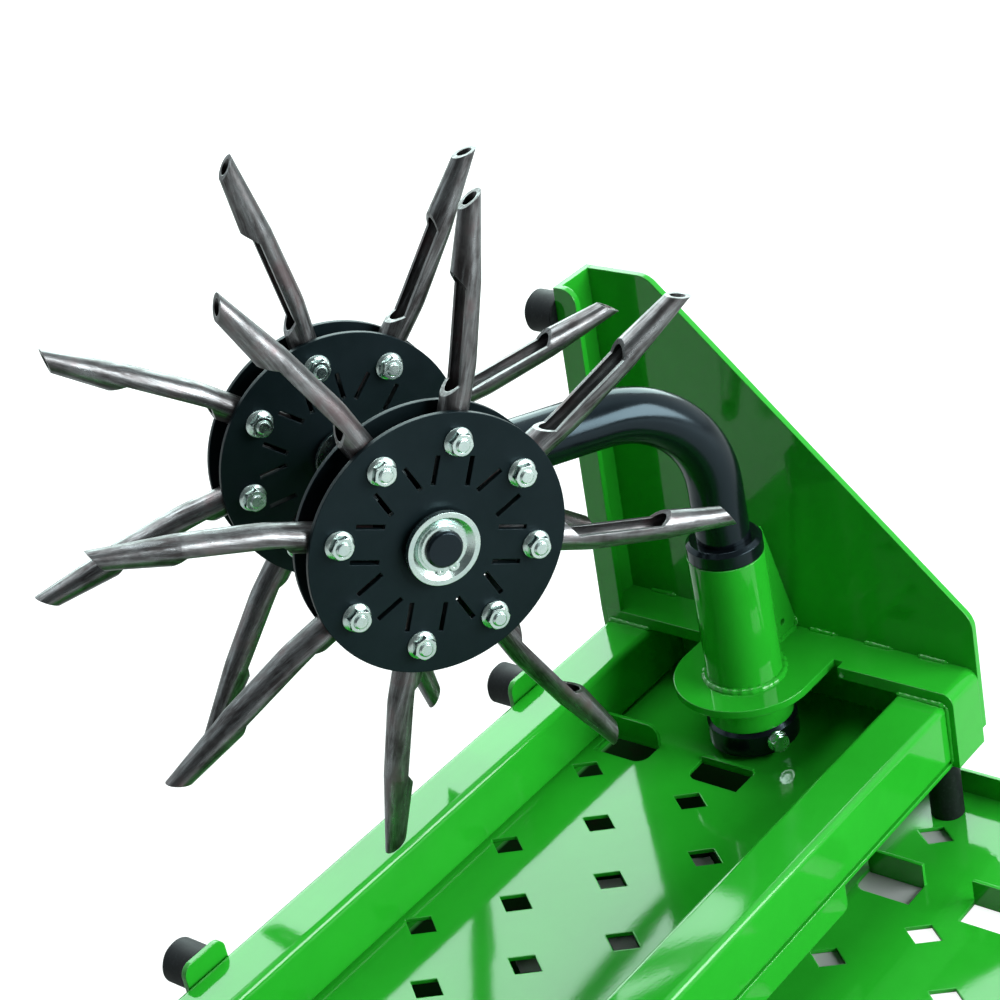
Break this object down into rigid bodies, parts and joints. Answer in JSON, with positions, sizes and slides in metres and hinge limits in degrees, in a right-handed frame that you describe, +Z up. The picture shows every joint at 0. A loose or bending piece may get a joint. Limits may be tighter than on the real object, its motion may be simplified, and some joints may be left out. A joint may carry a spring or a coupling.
{
  "type": "tow-behind lawn aerator end section with castering twin coring wheels",
  "caption": "End section of a tow-behind lawn aerator: bent swivelling arm with twin coring tine wheels on a green frame over a perforated tray.",
  "frame": {"origin": "on the caster's pivot axis, at the tray's underside", "axes": "+X along the beams towards the end plate, +Z up, -Y towards the front of the tray"},
  "size_m": [0.631, 0.6064, 0.6012],
  "materials": {
    "green_paint": "gloss powder coat",
    "black_paint": "satin black coat",
    "tine_steel": "heat-dulled bare steel",
    "zinc_plate": "bright zinc plate",
    "rubber": "matt black rubber",
    "bush_bronze": "plain bronze"
  },
  "bodies": {
    "frame": {"tray": "green_paint", "deck_sheet": "green_paint", "front_beam": "green_paint", "rear_beam": "green_paint", "cross_member": "green_paint", "end_plate": "green_paint", "back_flange": "green_paint", "end_cap": "green_paint", "pivot_sleeve": "green_paint", "pivot_gusset": "green_paint", "bumper_tabs": "green_paint", "rubber_feet": "rubber", "bumper_near_end": "rubber", "bumper_far_end": "rubber", "bumper_top": "rubber", "upper_bush": "bush_bronze", "lower_bush": "bush_bronze"},
    "caster": {"caster_arm": "black_paint", "stop_ring": "black_paint", "lock_collar": "black_paint", "axle": "black_paint", "axle_boss": "black_paint", "inner_washers": "zinc_plate", "outer_washers": "zinc_plate", "snap_rings": "zinc_plate"},
    "near_wheel": {"near_wheel_front_disc": "black_paint", "near_wheel_back_disc": "black_paint", "near_wheel_hub": "black_paint", "near_wheel_tines": "tine_steel"},
    "far_wheel": {"far_wheel_front_disc": "black_paint", "far_wheel_back_disc": "black_paint", "far_wheel_hub": "black_paint", "far_wheel_tines": "tine_steel"}
  },
  "joints": [
    {"name": "caster_swivel", "type": "hinge", "parent": "frame", "child": "caster", "pos_m": [0, 0, 0.155], "axis": [0, 0, 1], "range_deg": [-25, 95]},
    {"name": "near_wheel_spin", "type": "hinge", "parent": "caster", "child": "near_wheel", "pos_m": [-0.25249, 0.03244, 0.374], "axis": [0.4289, 0.9033, 0], "continuous": true},
    {"name": "far_wheel_spin", "type": "hinge", "parent": "caster", "child": "far_wheel", "pos_m": [-0.18472, 0.17517, 0.374], "axis": [0.4289, 0.9033, 0], "continuous": true}
  ]
}
